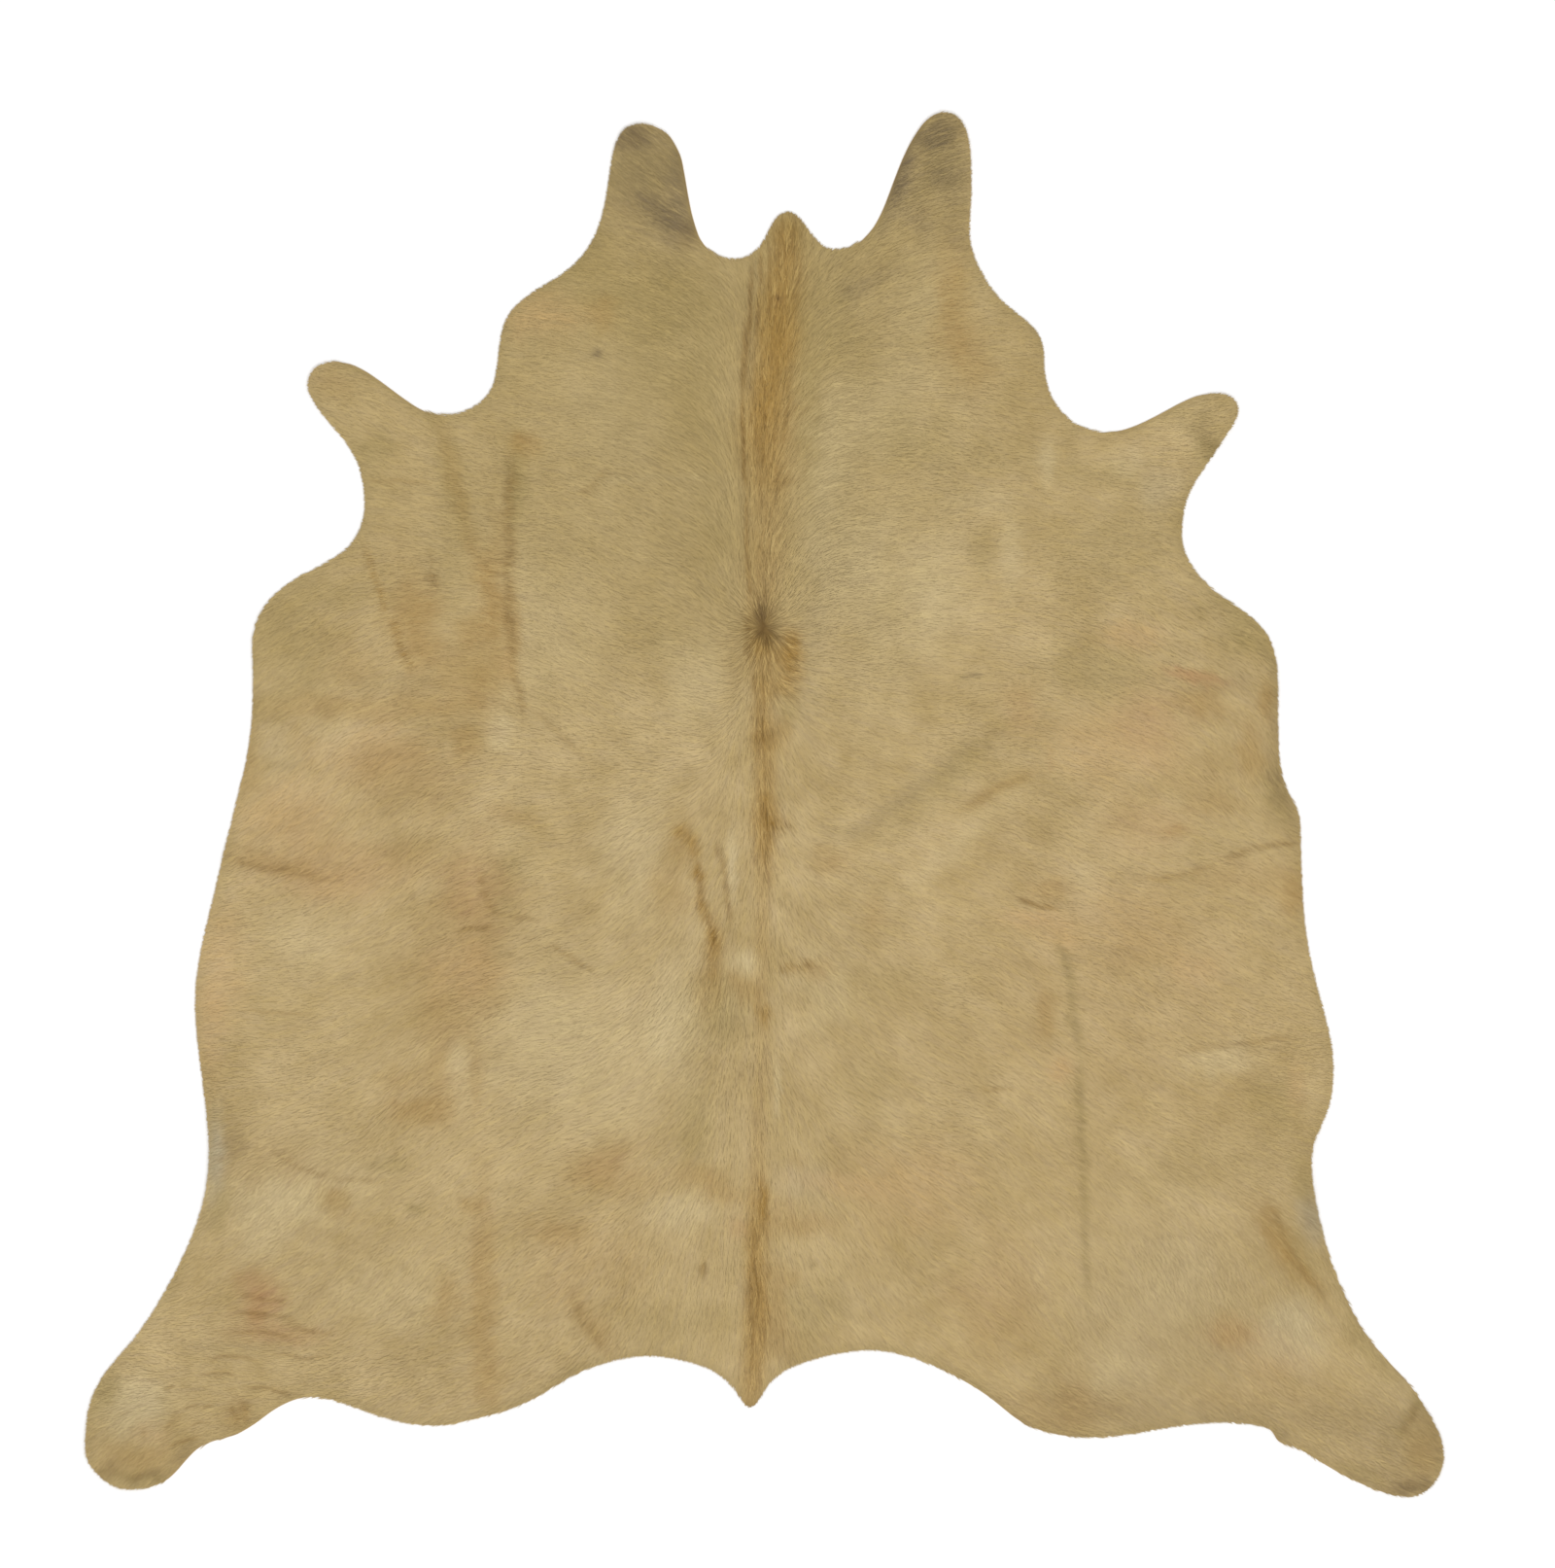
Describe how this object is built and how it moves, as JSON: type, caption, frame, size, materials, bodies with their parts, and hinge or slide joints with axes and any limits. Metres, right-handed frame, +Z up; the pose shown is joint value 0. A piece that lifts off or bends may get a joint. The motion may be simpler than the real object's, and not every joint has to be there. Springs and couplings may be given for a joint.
{
  "type": "cowhide rug",
  "caption": "Whole pale golden hair-on cowhide lying flat, with neck lobes, forelegs, hind legs and a short tail point.",
  "frame": {"origin": "on the floor under the middle of the hide's box", "axes": "+Y along the spine to the neck, +X to the right seen from above with the neck away, +Z up from the floor, hair side up"},
  "size_m": [2.157, 2.199, 0.0123],
  "materials": {
    "hide_coat": "short satin hair, pale golden beige, darker along the spine"
  },
  "bodies": {
    "root": {"hide": "hide_coat"}
  },
  "joints": []
}
